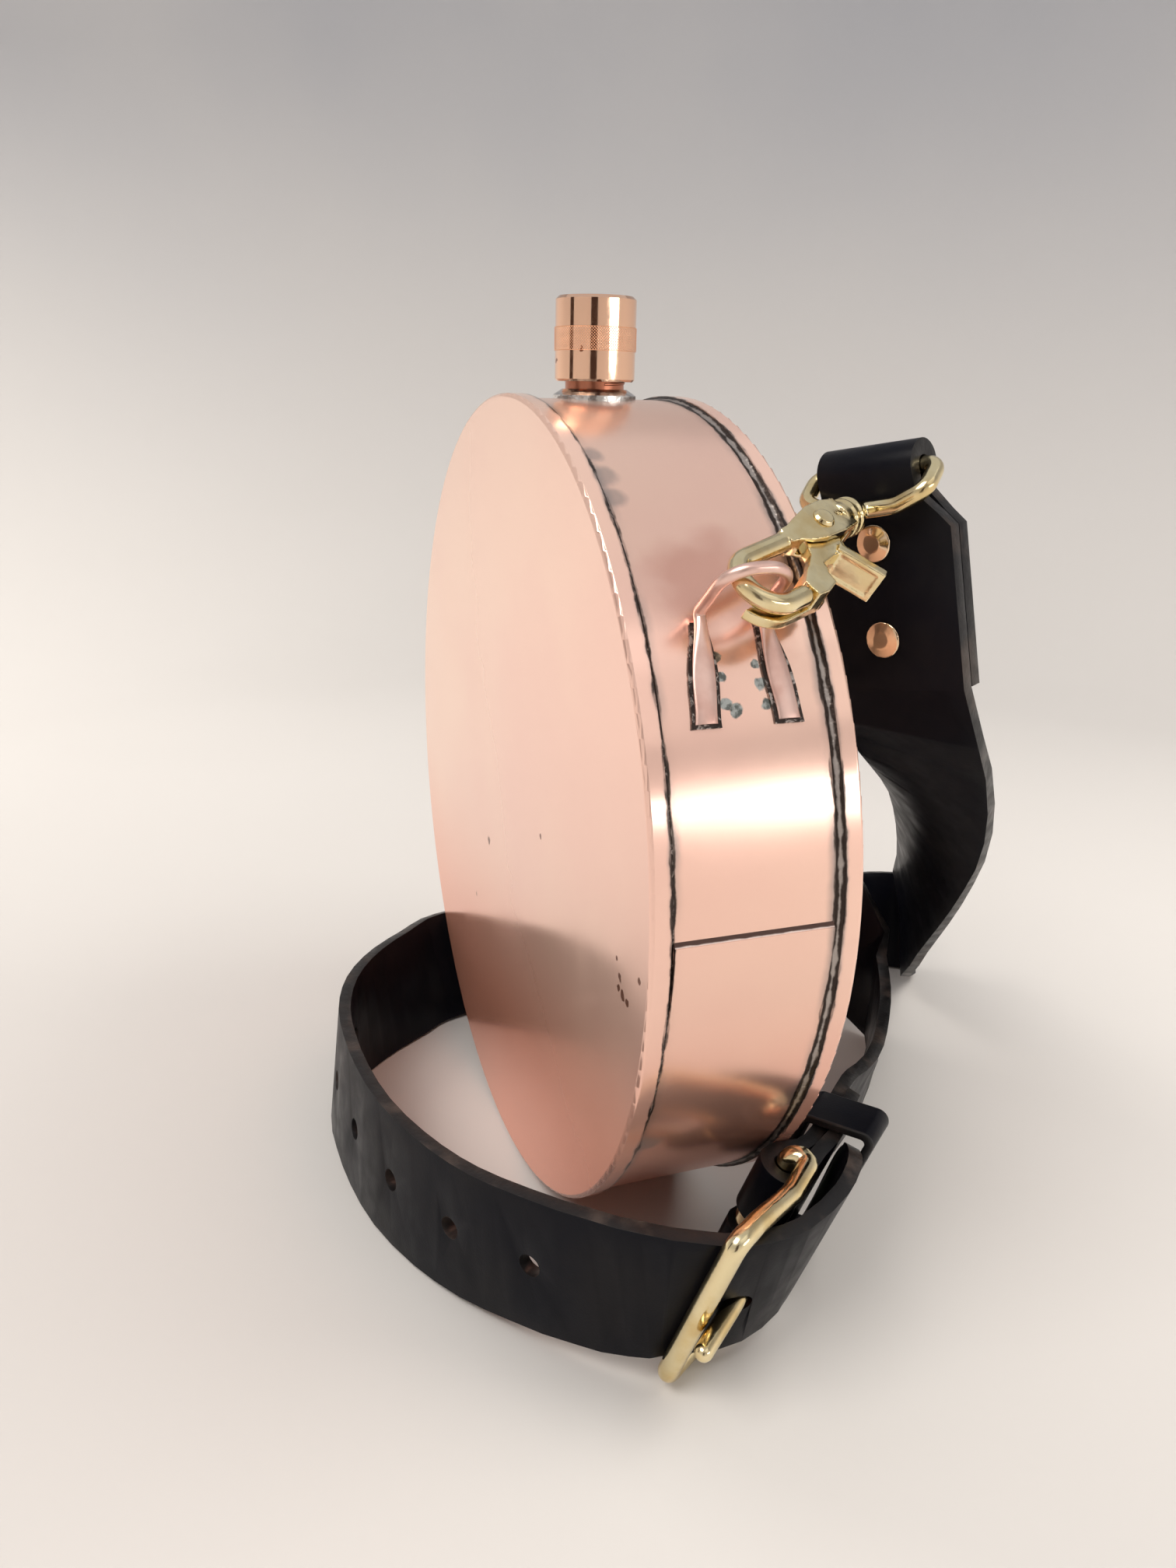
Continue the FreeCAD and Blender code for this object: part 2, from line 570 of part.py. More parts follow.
# down the strap from the eye bar
STRAP_DOWN = V(0.116, 0.15, -0.98)
right_fold = Fold(BAR_AT, bar_way, STRAP_DOWN)
flip = V(-BAR_AT.x, BAR_AT.y, BAR_AT.z)
left_fold = Fold(flip, V(bar_way.x, -bar_way.y, -bar_way.z), V(-STRAP_DOWN.x, STRAP_DOWN.y,
                                                               STRAP_DOWN.z))

# buckle frame: p from the heel bar to the front bar, q outward, r up along the bars
BUCKLE_P = V(0.64, -0.77, 0)
BUCKLE_UP = V(0.254, 0.212, 0.943)
HEEL_AT = place(HEEL_OUT, HEEL_BACK, HEEL_UP)
BUCKLE = frame(HEEL_AT, BUCKLE_P, BUCKLE_UP)
half_wire = BUCKLE_WIRE / 2
wrap_in = half_wire + FOLD_CLEAR
wrap_mid = wrap_in + STRAP_T / 2
FRONT_Q = 1.8                                  # front bar, out from the heel bar


def by_buckle(p, q, r=0.0):
    return BUCKLE.multVec(V(p, q, r))


def buckle_frame():
    h, n = BUCKLE_H / 2, BUCKLE_LEN
    pts = [V(0, 0, 0), V(0, 0, h), V(-1.0, 4.4, h), V(n * 0.35, 4.8, h), V(n * 0.75, 2.6, h),
           V(n, FRONT_Q, h), V(n, FRONT_Q, 0)]
    side = rod(rounded(pts, [2.5, 2.4, 6, 12, 2.6]), half_wire)
    return placed(side.fuse(side.mirror(O, Z)).removeSplitter(), BUCKLE)


tongue_r = TONGUE_D / 2
tongue_rest = FRONT_Q + half_wire + tongue_r + 0.3
TONGUE_PATH = [V(0, wrap_in - 1.6, 0), V(7, 4.4, -0.6), V(BUCKLE_LEN * 0.68, 6.2, -2.0),
               V(BUCKLE_LEN + 4.5, tongue_rest, -3.5)]


def tongue_rod(r):
    return rod(rounded(TONGUE_PATH, [9, 60]), r)


def buckle_tongue():
    r = tongue_r
    eye = cyl(half_wire + 2.3, V(0, 0, -r), Z, 2 * r)
    tongue = eye.multiFuse([tongue_rod(r), Part.makeSphere(r, TONGUE_PATH[-1])])
    return placed(tongue.cut(cyl(half_wire + 0.1, V(0, 0, -30), Z, 60)).removeSplitter(), BUCKLE)


# ---- long strap: free end, buckle, round the front and the far side, up to the right hook ---
side = math.sqrt(DRUM_R ** 2 - (DRUM_R - 0.965 * STRAP_W) ** 2)   # half drum at the strap's top
LEAN = (8.9, 7.4)                               # how far it leans out beside the buckle


def near(dx, dy, lift, lean_x, lean_y):
    """A row placed from the heel bar."""
    return standing(HEEL_OUT + dx, HEEL_BACK + dy, lift, lean_x, lean_y)


def ahead(x, dy, lift, lean_x, lean_y):
    """A row placed in front of the drum."""
    return standing(x, -HALF_T - dy, lift, lean_x, lean_y)


def beside(dx, y, lift, lean_x, lean_y):
    """A row placed beyond the far side of the drum."""
    return standing(-side + dx, y, lift, lean_x, lean_y)


long_rows = [
    near(-6.2, 22.2, 7.0, *LEAN), near(-2.9, 19.4, 7.0, *LEAN), near(2.8, 16.0, 7.0, *LEAN),
    near(8.9, 10.5, 7.0, *LEAN),
    near(14.2, 3.4, 7.0, *LEAN), near(17.3, -5.0, 5.6, *LEAN), near(18.2, -15.4, 5.2, 8.9, 7.2),
    near(16.3, -28.9, 7.2, 8.9, 6.6), near(11.6, -36.4, 6.4, 7.4, 4.2),
    ahead(86, 9.6, 5.0, 6.0, 2.4), ahead(72, 19.9, 2.6, 3.6, 1.0), ahead(60, 27.3, 1.0, 2.0, 1.4),
    ahead(46, 34.0, 0.2, 0.8, 2.0), ahead(29, 39.8, 0, 0.2, 2.6), ahead(12, 42.7, 0, 0, 3.0),
    ahead(-5, 43.7, 0, 0, 3.4), ahead(-20, 43.0, 0, -0.4, 3.8), ahead(-32, 39.5, 0, -1.6, 3.0),
    ahead(-43, 33.0, 0, -3.4, 1.0), ahead(-53, 24.2, 0, -5.6, -0.6),
    ahead(-62.3, 13.2, 0, -8.0, -1.6), beside(5.4, -HALF_T - 5.0, 0, -10.0, -1.6),
    beside(1.9, -HALF_T + 4.5, 0, -11.0, -0.6), beside(1.5, 0, 0, -11.2, 0),
    beside(1.9, 18, 0, -11.2, 0), beside(3.4, 38, 0, -10.6, 0), beside(5.6, 58, 0, -10, 0),
    beside(8.0, 80, 0, -9.4, 0), beside(10.2, 102, 0, -9, 0), beside(12.2, 121, 0, -8.8, 0),
    beside(13.2, 134, 0, -8.4, 0),
    (place(-59.4, 142.5, 17.2), V(-0.24, 0.03, 0.97)),
    (place(-54.5, 146.6, 17.8), V(-0.24, 0.06, 0.97)),
    (place(-48.6, 143.6, 19.6), V(-0.26, 0.06, 0.96)),
]
up_at, up_way, up_head = right_fold.leave(-1)
low_at = place(-42, 136, 23)


def rising(f, dx, dy, dz, way):
    """A row of the hanging run, by its share of the way up to the fold and its sag."""
    return low_at + (up_at - low_at) * f + V(dx, dy, dz), way


long_rows += [
    rising(0.0, 0, 0, 0, V(-0.30, 0.04, 0.95)),
    rising(0.18, -2.5, 5.4, -3.5, V(-0.45, 0.0, 0.89)),
    rising(0.38, -1.0, 8.6, -5.3, V(-0.62, -0.10, 0.78)),
    rising(0.58, 0, 11, -7, V(-0.78, -0.25, 0.58)),
    rising(0.78, -1, 12, -11, V(-0.88, -0.38, 0.28)),
    rising(0.92, -1, 8, -9, V(-0.90, -0.43, 0.0)),
    (up_at, up_way * -1),
]
long_run = slab(long_rows, V(0.9, -0.44, 0), up_head * -1)
strap_long = long_run.fuse(right_fold.shape()).removeSplitter()

# free end's round corners, the tongue's hole and the row of spare holes
tip_c, tip_way = long_rows[0]
TIP = frame(tip_c, long_rows[1][0] - tip_c, tip_way)
for s in (1, -1):
    z = s * (STRAP_W / 2 - TIP_R)
    corner = box(-9, TIP_R, -9, 9, min(z, z + s * 30), max(z, z + s * 30))
    corner = corner.cut(cyl(TIP_R, V(TIP_R, -10, z), Y, 20))
    strap_long = strap_long.cut(placed(corner, TIP))
strap_long = strap_long.cut(placed(tongue_rod(tongue_r + 1.0), BUCKLE))


def along_rows(rows, distance):
    """Centre, heading and way at a distance along straight steps between rows."""
    for (a, wa), (b, wb) in zip(rows, rows[1:]):
        step = (b - a).Length
        if distance <= step:
            return a + (b - a) * (distance / step), unit(b - a), wa + (wb - wa) * (distance / step)
        distance -= step
    return rows[-1][0], unit(b - a), rows[-1][1]


HOLE_FIRST = 68.5                               # tongue's hole, from the free end
for i in range(1, HOLE_COUNT):
    c, heading, way = along_rows(long_rows, HOLE_FIRST + i * HOLE_STEP)
    face_way = heading.cross(way)
    strap_long = strap_long.cut(cyl(HOLE_D / 2, c - unit(face_way) * 8, face_way, 16))

# ---- short strap: from the left hook down behind the drum to the buckle ---------------------
down_at, down_way, down_head = left_fold.leave(-1)


OUT = V(0.77, 0.64, 0)                          # out of the buckle, level


def wrap_row(p, q):
    return by_buckle(p, q), V(BUCKLE_UP)


def ply_row(p, out):
    """A row of the two plies behind the heel bar, kept level with it."""
    return by_buckle(p, 0) + OUT * out, V(BUCKLE_UP)


foot_at = place(-18, 103, 20)


def sinking(f, dx, dy, dz, way):
    return down_at + (foot_at - down_at) * f + V(dx, dy, dz), way


ply = (PLY_GAP + STRAP_T) / 2
short_rows = [
    (down_at, down_way * -1),
    sinking(0.25, 1, 3, -4, V(-0.55, 0.60, 0.58)),
    sinking(0.5, 0, 6, -8, V(-0.3, 0.35, 0.88)),
    sinking(0.78, -2, 5, -10, V(-0.12, 0.15, 0.98)),
    standing(-8, 103, 0.5, 0, -2), standing(6, 94.5, 0, 2, 0.5),
    standing(20, 84, 0, 4, 3), standing(34, 71.8, 0.5, 6, 5),
    near(-35.9, 44.4, 3.2, 8, 6.5), near(-28.2, 33.2, 5.2, 8.6, 7.2),
    ply_row(-34, 0.3), ply_row(-24, 1.0), ply_row(-16, 1.5), ply_row(-9.5, 0.7),
    wrap_row(-4.5, -2.4),
    wrap_row(0, -wrap_mid)]
short_run = slab(short_rows, down_head, BUCKLE.Rotation.multVec(X))
wrap = cyl(wrap_in + STRAP_T, V(0, 0, -STRAP_W / 2), Z, STRAP_W)
wrap = wrap.cut(cyl(wrap_in, V(0, 0, -50), Z, 100)).cut(box(-50, 0, -50, 50, -50, 50))
turn_in = [(-9.5, 4.7), (-16, 5.3), (-24, 4.9), (-36, 3.3)]
fold_rows = [wrap_row(0, wrap_mid)] + [ply_row(p, out) for p, out in turn_in]
fold_run = slab(fold_rows, BUCKLE.Rotation.multVec(X * -1), BUCKLE.Rotation.multVec(X * -1))
slot = box(-9, 20, -20, 20, -tongue_r - 0.7, tongue_r + 0.7)
strap_short = short_run.multiFuse([placed(wrap, BUCKLE), fold_run])
strap_short = strap_short.cut(placed(slot, BUCKLE)).fuse(left_fold.shape()).removeSplitter()

# ---- keeper --------------------------------------------------------------------------------
KEEPER_FROM = -28.0                             # along p
k_in, k_out, k_h = -1.8, 12.4, STRAP_W / 2 + 0.8


def keeper_prism(grow, p0, p1):
    corners = [(k_in - grow, -k_h - grow), (k_out + grow, -k_h - grow),
               (k_out + grow, k_h + grow), (k_in - grow, k_h + grow)]
    pts = [by_buckle(p0, 0) + OUT * a + unit(BUCKLE_UP) * b for a, b in corners]
    return Part.Face(Part.makePolygon(pts + pts[:1])).extrude(unit(BUCKLE_P) * (p1 - p0))


keeper = keeper_prism(KEEPER_T, KEEPER_FROM, KEEPER_FROM + KEEPER_W)
long_edges = [e for e in keeper.Edges if abs(e.Length - KEEPER_W) < 0.01
              and abs(abs(e.tangentAt(0).dot(unit(BUCKLE_P))) - 1) < 1e-4]
keeper = keeper.makeFillet(2.8, long_edges)
inside = keeper_prism(0, KEEPER_FROM - 1, KEEPER_FROM + KEEPER_W + 1)
inside = inside.makeFillet(1.0, [e for e in inside.Edges if abs(e.Length - KEEPER_W - 2) < 0.01])
keeper = keeper.cut(inside)

# ---- files ---------------------------------------------------------------------------------
save("band", band)
save("band_seam_solder", band_seam_solder)
save("front_cover", front_cover)
save("rear_cover", rear_cover)
save("front_seam_solder", front_seam_solder)
save("rear_seam_solder", rear_seam_solder)
save("neck", neck)
save("neck_solder", neck_solder)
save("cap", cap)
save("cap_liner", cap_liner)
save("right_loop", right_loop)
save("right_loop_solder", right_loop_solder)
save("left_loop", mirrored(right_loop))
save("left_loop_solder", mirrored(right_loop_solder))
for name, shape in hook.items():
    save("right_" + name, shape)
    save("left_" + name, mirrored(shape))
save("strap_long", strap_long)
save("buckle_frame", buckle_frame())
save("buckle_tongue", buckle_tongue())
save("strap_short", strap_short)
save("keeper", keeper)
for i, d in ((1, RIVET_1), (2, RIVET_2)):
    save("right_rivet_%d" % i, right_fold.rivet(d))
    save("left_rivet_%d" % i, left_fold.rivet(d))
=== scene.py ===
"""Round copper canteen with a soldered seam, screw cap and leather carrying strap."""
import json
import math
import bmesh
import bpy
from mathutils import Matrix, Vector

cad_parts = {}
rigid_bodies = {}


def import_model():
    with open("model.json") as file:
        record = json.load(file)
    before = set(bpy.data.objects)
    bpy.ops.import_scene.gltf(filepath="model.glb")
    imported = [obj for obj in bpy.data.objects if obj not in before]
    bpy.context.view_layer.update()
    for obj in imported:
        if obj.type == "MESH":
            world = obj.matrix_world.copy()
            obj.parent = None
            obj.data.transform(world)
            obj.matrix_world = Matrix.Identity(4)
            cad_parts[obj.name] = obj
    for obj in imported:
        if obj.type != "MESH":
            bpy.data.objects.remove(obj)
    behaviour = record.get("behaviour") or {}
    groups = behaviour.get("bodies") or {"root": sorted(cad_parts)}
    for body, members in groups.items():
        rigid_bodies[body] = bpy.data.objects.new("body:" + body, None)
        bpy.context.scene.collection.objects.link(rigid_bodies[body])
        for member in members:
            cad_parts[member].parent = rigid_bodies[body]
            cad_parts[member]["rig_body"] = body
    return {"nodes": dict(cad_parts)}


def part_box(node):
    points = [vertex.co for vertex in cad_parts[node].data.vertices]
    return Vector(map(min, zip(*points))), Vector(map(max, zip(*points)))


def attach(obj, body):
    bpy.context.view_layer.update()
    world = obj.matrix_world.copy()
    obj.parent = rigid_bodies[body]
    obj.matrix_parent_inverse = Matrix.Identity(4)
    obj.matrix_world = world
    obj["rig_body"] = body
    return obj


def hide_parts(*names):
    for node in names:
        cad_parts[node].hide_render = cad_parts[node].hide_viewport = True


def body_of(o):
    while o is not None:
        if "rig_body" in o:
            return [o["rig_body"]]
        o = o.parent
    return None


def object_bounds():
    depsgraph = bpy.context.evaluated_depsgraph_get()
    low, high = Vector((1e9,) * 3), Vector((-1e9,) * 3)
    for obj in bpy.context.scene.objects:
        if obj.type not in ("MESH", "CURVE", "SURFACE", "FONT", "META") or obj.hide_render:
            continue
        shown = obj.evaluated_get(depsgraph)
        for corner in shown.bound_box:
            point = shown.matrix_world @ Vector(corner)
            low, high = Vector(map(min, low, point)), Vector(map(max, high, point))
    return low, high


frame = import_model()
cad_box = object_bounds()
nodes = frame["nodes"]

MM = 0.001                                # lengths without it are metres


# ---- camera ------------------------------------------------------------------------------------
CAMERA_AT = Vector((0.2802, -0.12205, 0.1003))
CAMERA_HEADING = math.radians(19.686)     # from -X towards +Y
CAMERA_DOWN = math.radians(18.312)
CAMERA_ROLL = math.radians(1.235)
CAMERA_SENSOR = 36.0                      # mm
CAMERA_LENS = 27.11                       # mm
CAMERA_NEAR = 10 * MM


def place_camera():
    data = bpy.data.cameras.new("camera")
    data.sensor_width = CAMERA_SENSOR
    data.lens = CAMERA_LENS
    data.clip_start = CAMERA_NEAR
    camera = bpy.data.objects.new("camera", data)
    bpy.context.scene.collection.objects.link(camera)
    level = Vector((-math.cos(CAMERA_HEADING), math.sin(CAMERA_HEADING), 0))
    ahead = level * math.cos(CAMERA_DOWN) - Vector((0, 0, math.sin(CAMERA_DOWN)))
    right = ahead.cross(Vector((0, 0, 1))).normalized()
    over = right.cross(ahead)
    right, over = (right * math.cos(CAMERA_ROLL) + over * math.sin(CAMERA_ROLL),
                   over * math.cos(CAMERA_ROLL) - right * math.sin(CAMERA_ROLL))
    turn = Matrix((right, over, -ahead)).transposed().to_4x4()
    camera.matrix_world = Matrix.Translation(CAMERA_AT) @ turn
    bpy.context.scene.camera = camera


place_camera()
bpy.context.scene.view_settings.view_transform = "Standard"


# ---- places on the canteen, from the frame -----------------------------------------------------
FRONT_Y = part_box("front_cover")[0].y
BACK_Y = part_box("rear_cover")[1].y
MID_Y = (FRONT_Y + BACK_Y) / 2
FLOOR_Z = cad_box[0][2]
LIP_END = 4.2 * MM                # depth of a cover's lip
FRONT_BEAD = 0.8 * MM             # width of the solder past each lip
REAR_BEAD = 1.6 * MM

# Specks on a cover's face: x, z, radius.
FACE_MARKS = [(-0.0161, -0.0176, 0.0014), (0.0316, 0.0010, 0.0008), (0.0852, -0.0093, 0.0011),
              (0.0845, -0.0119, 0.0009), (0.0867, -0.0124, 0.0012), (0.0893, -0.0128, 0.0010),
              (0.0952, -0.0051, 0.0008), (0.0832, -0.0060, 0.0006), (-0.0310, -0.0400, 0.0007)]
REAR_MARKS = [(-0.022, 0.031, 0.0012), (0.040, -0.012, 0.0009), (0.012, 0.058, 0.0008)]

# Marks on the right of the band, made again on its left: x, y from its middle, z, radius.
HEAT = [(0.0748, -0.0011, 0.0648, 0.017), (0.0712, -0.0060, 0.0688, 0.010),
        (0.0800, 0.0060, 0.0583, 0.009)]
FLUX = [(0.0447, -0.0160, 0.0883, 0.0032), (0.0509, -0.0159, 0.0849, 0.0040),
        (0.0571, -0.0157, 0.0809, 0.0030), (0.0862, -0.0150, -0.0487, 0.0040),
        (0.0900, 0.0150, -0.0412, 0.0050)]
SOLDER_WIPES = [(0.0877, -0.0038, 0.0459, 0.0014), (0.0851, -0.0040, 0.0505, 0.0013),
                (0.0831, -0.0043, 0.0538, 0.0011), (0.0884, -0.0020, 0.0446, 0.0016),
                (0.0861, 0.0038, 0.0488, 0.0015), (0.0878, 0.0045, 0.0457, 0.0014),
                (0.0841, 0.0036, 0.0522, 0.0011)]


# ---- node trees --------------------------------------------------------------------------------
class Finish:
    """A material with one Principled shader, and short ways to add what feeds it."""

    def __init__(self, name, colour, rough, metal=0.0):
        self.material = bpy.data.materials.new(name)
        self.material.use_nodes = True
        self.tree = self.material.node_tree
        self.shader = self.tree.nodes["Principled BSDF"]
        self.set("Base Color", (*colour, 1))
        self.set("Roughness", rough)
        self.set("Metallic", metal)
        self.where = self.add("ShaderNodeTexCoord").outputs["Object"]

    def add(self, kind, **values):
        node = self.tree.nodes.new(kind)
        for key, value in values.items():
            setattr(node, key, value)
        return node

    def set(self, socket, value):
        self.shader.inputs[socket].default_value = value

    def link(self, a, b):
        self.tree.links.new(a, b)

    def feed(self, socket, value):
        self.link(value, self.shader.inputs[socket])

    def noise(self, scale, detail=3.0, distort=0.0):
        """Noise of 0 to 1 with scale lumps to a metre."""
        node = self.add("ShaderNodeTexNoise")
        node.inputs["Scale"].default_value = scale
        node.inputs["Detail"].default_value = detail
        node.inputs["Distortion"].default_value = distort
        self.link(self.where, node.inputs["Vector"])
        return node.outputs["Fac"]

    def ramp(self, value, low, high, bottom=0.0, top=1.0):
        """Goes smoothly from bottom to top as value goes from low to high."""
        node = self.add("ShaderNodeMapRange")
        node.interpolation_type = "SMOOTHSTEP"
        for key, number in (("From Min", low), ("From Max", high),
                            ("To Min", bottom), ("To Max", top)):
            node.inputs[key].default_value = number
        self.link(value, node.inputs["Value"])
        return node.outputs["Result"]

    def math(self, operation, a, b=None):
        node = self.add("ShaderNodeMath", operation=operation)
        for socket, value in zip(node.inputs, (a, b)):
            if value is None:
                continue
            if isinstance(value, (int, float)):
                socket.default_value = value
            else:
                self.link(value, socket)
        return node.outputs["Value"]

    def mix(self, amount, a, b):
        node = self.add("ShaderNodeMix", data_type="RGBA")
        colours = [s for s in node.inputs if s.type == "RGBA"]
        if isinstance(amount, (int, float)):
            node.inputs[0].default_value = amount
        else:
            self.link(amount, node.inputs[0])
        for socket, value in zip(colours, (a, b)):
            if isinstance(value, tuple):
                socket.default_value = (*value, 1)
            else:
                self.link(value, socket)
        return [s for s in node.outputs if s.type == "RGBA"][0]

    def split(self):
        node = self.add("ShaderNodeSeparateXYZ")
        self.link(self.where, node.inputs[0])
        return node.outputs

    def uneven(self, scale, detail, width):
        """Noise to both sides of zero, to fray an edge."""
        return self.math("MULTIPLY", self.math("SUBTRACT", self.noise(scale, detail), 0.5), width)

    def tones(self, amount, a, b):
        self.feed("Base Color", self.mix(amount, a, b))

    def polish(self, scale, detail, low, high):
        """Roughness that drifts from low to high."""
        self.feed("Roughness", self.ramp(self.noise(scale, detail), 0.3, 0.7, low, high))

    def bump(self, scale, detail, depth, strength=1.0):
        node = self.add("ShaderNodeBump")
        node.inputs["Distance"].default_value = depth
        node.inputs["Strength"].default_value = strength
        self.link(self.noise(scale, detail), node.inputs["Height"])
        self.feed("Normal", node.outputs["Normal"])


# ---- copper ------------------------------------------------------------------------------------
COPPER = (0.95, 0.66, 0.53)
COPPER_PINK = (0.91, 0.59, 0.49)
# Deep red painted low on the sheet: a painted reflection of the dark strap and the reddish light
# mirrored there.
COPPER_PAINTED_REFLECTION = (0.92, 0.34, 0.21)
COPPER_STAIN = (0.22, 0.09, 0.055)
HEATED_COPPER = (0.58, 0.25, 0.19)
SOLDER_HAZE = (0.34, 0.29, 0.27)
SOLDER_SMEAR = (0.40, 0.42, 0.40)
SMEAR_SHADE = (0.12, 0.13, 0.12)
FLUX_BLACK = (0.045, 0.033, 0.028)
SOLDER_BRIGHT = (0.42, 0.37, 0.34)
# Pale colour of the lap's cut edge: a painted highlight.
LAP_PAINTED_HIGHLIGHT = (0.90, 0.72, 0.65)
CAP_COPPER = (0.95, 0.60, 0.42)
COVER_ROUGH, COVER_METAL = 0.16, 0.62
BAND_ROUGH, BAND_METAL = 0.22, 0.80
SMOOTHER, ROUGHER = 0.03, 0.05                # how far a patch of sheet strays from its roughness
REFLECTION_DEEPEST_BELOW, REFLECTION_GONE_ABOVE = -60 * MM, 12 * MM          # heights between which the copper is painted deeper red, a painted reflection
HEIGHT_DRIFT = 30 * MM
COVER_HAZE, BAND_HAZE = 1.1 * MM, 2.2 * MM             # reach of the flux haze beside a seam
BLACK_UP_TO, BLACK_GONE_AT = 0.1 * MM, 0.5 * MM        # to each side of a seam's black line
SEAM_FRAY, REAR_FRAY, LAP_FRAY = 1.6 * MM, 1.4 * MM, 0.4 * MM
LAP_HIGHLIGHT_TO, LAP_BLACK_FROM = 3.0 * MM, 3.3 * MM     # heights on the band's lap


def rubbed_sheet(name, rough, metal):
    """Sheet rubbed down with fine wool: faint clouds of tone, dull patches, and a painted
    reflection low down, where the copper is painted deeper red.
    """
    f = Finish(name, COPPER, rough, metal)
    colour = f.mix(f.ramp(f.noise(11, 4), 0.35, 0.7), COPPER, COPPER_PINK)
    f.feed("Roughness", f.ramp(f.noise(26, 5), 0.3, 0.75, rough - SMOOTHER, rough + ROUGHER))
    # Painted reflection: the copper turns deeper red towards the bottom, standing in for the dark
    # strap mirrored in the lower face and band.
    height = f.math("ADD", f.split()[2], f.math("MULTIPLY", f.noise(9, 3), HEIGHT_DRIFT))
    return f, f.mix(f.ramp(height, REFLECTION_DEEPEST_BELOW, REFLECTION_GONE_ABOVE, 0.8, 0.0), colour, COPPER_PAINTED_REFLECTION)


def spots(f, places, edge_noise, blur):
    """Mask of small ragged marks at the given places, each x, y, z, radius."""
    total = None
    wobble = f.uneven(edge_noise, 4, 1.6)
    for x, y, z, radius in places:
        far = f.add("ShaderNodeVectorMath", operation="DISTANCE")
        f.link(f.where, far.inputs[0])
        far.inputs[1].default_value = (x, y, z)
        reach = f.math("ADD", f.math("DIVIDE", far.outputs["Value"], radius), wobble)
        mask = f.ramp(reach, 1.0 - blur, 1.0, 1.0, 0.0)
        total = mask if total is None else f.math("MAXIMUM", total, mask)
    return total


def both_sides(places):
    return [(side * x, MID_Y + y, z, radius) for side in (1, -1) for x, y, z, radius in places]


def seam_marks(f, colour, past_edge, wide):
    """Flux haze beside a seam and the ragged black line along it; past_edge is 0 at the seam."""
    off = f.math("ADD", f.math("ABSOLUTE", past_edge), f.uneven(210, 5, SEAM_FRAY))
    patches = f.ramp(f.noise(34, 4), 0.40, 0.66, 0.05, 0.85)
    haze = f.math("MULTIPLY", f.ramp(off, 0.0, wide, 1.0, 0.0), patches)
    colour = f.mix(haze, colour, SOLDER_HAZE)
    line = f.math("MULTIPLY", f.ramp(off, BLACK_UP_TO, BLACK_GONE_AT, 1.0, 0.0),
                  f.ramp(f.noise(120, 4), 0.35, 0.55, 0.35, 1.0))
    return f.mix(line, colour, FLUX_BLACK)


def cover_sheet(name, face_y, inward, marks):
    """A cover: specks on its face, and flux along the end of its lip."""
    f, colour = rubbed_sheet(name, COVER_ROUGH, COVER_METAL)
    specks = spots(f, [(x, face_y, z, radius) for x, z, radius in marks], 700, 0.35)
    colour = f.mix(specks, colour, COPPER_STAIN)
    past_lip = f.math("SUBTRACT", f.split()[1], face_y + inward * LIP_END)
    f.feed("Base Color", seam_marks(f, colour, past_lip, COVER_HAZE))
    return f.material


def band_sheet():
    """The band: flux along both seams, solder smears by the loops, heat stain round them."""
    f, colour = rubbed_sheet("band_sheet", BAND_ROUGH, BAND_METAL)
    y = f.split()[1]
    past_front = f.math("SUBTRACT", y, FRONT_Y + LIP_END + FRONT_BEAD)
    past_rear = f.math("SUBTRACT", y, BACK_Y - LIP_END - REAR_BEAD)
    past_nearer = f.math("MINIMUM", f.math("ABSOLUTE", past_front), f.math("ABSOLUTE", past_rear))
    heat = spots(f, both_sides(HEAT), 60, 0.85)
    colour = f.mix(f.math("MULTIPLY", heat, 0.5), colour, HEATED_COPPER)
    grey = spots(f, both_sides(FLUX), 120, 0.7)
    colour = f.mix(f.math("MULTIPLY", grey, 0.6), colour, SOLDER_HAZE)
    wiped = spots(f, both_sides(SOLDER_WIPES), 420, 0.25)
    smear = f.mix(f.ramp(f.noise(600, 3), 0.4, 0.6), SOLDER_SMEAR, SMEAR_SHADE)
    f.feed("Base Color", seam_marks(f, f.mix(wiped, colour, smear), past_nearer, BAND_HAZE))
    return f.material


def bright_copper():
    f = Finish("bright_copper", CAP_COPPER, 0.1, 1.0)
    f.tones(f.ramp(f.noise(300, 2), 0.71, 0.74), CAP_COPPER, (0.25, 0.08, 0.04))
    f.polish(500, 2, 0.06, 0.13)
    return f.material


def knurl_copper():
    f = Finish("knurl_copper", (0.86, 0.44, 0.26), 0.38, 1.0)
    f.tones(f.noise(200, 3), (0.90, 0.48, 0.29), (0.76, 0.36, 0.20))
    return f.material


def loop_copper():
    f = Finish("loop_copper", (0.86, 0.60, 0.52), 0.33, 0.85)
    f.tones(f.ramp(f.noise(90, 4), 0.4, 0.7), (0.88, 0.62, 0.54), (0.68, 0.40, 0.33))
    f.bump(250, 3, 0.08 * MM, 0.5)
    return f.material


def dark_copper():
    f = Finish("dark_copper", (0.42, 0.14, 0.08), 0.3, 1.0)
    f.tones(f.noise(300, 3), (0.30, 0.09, 0.05), (0.6, 0.26, 0.16))
    return f.material


# ---- solder ------------------------------------------------------------------------------------
def old_solder():
    f = Finish("old_solder", (0.2, 0.17, 0.15), 0.5, 0.9)
    f.tones(f.ramp(f.noise(620, 5, distort=1.2), 0.52, 0.66),
            (0.045, 0.034, 0.030), (0.40, 0.35, 0.32))
    f.polish(700, 3, 0.3, 0.6)
    f.bump(900, 4, 0.25 * MM)
    return f.material


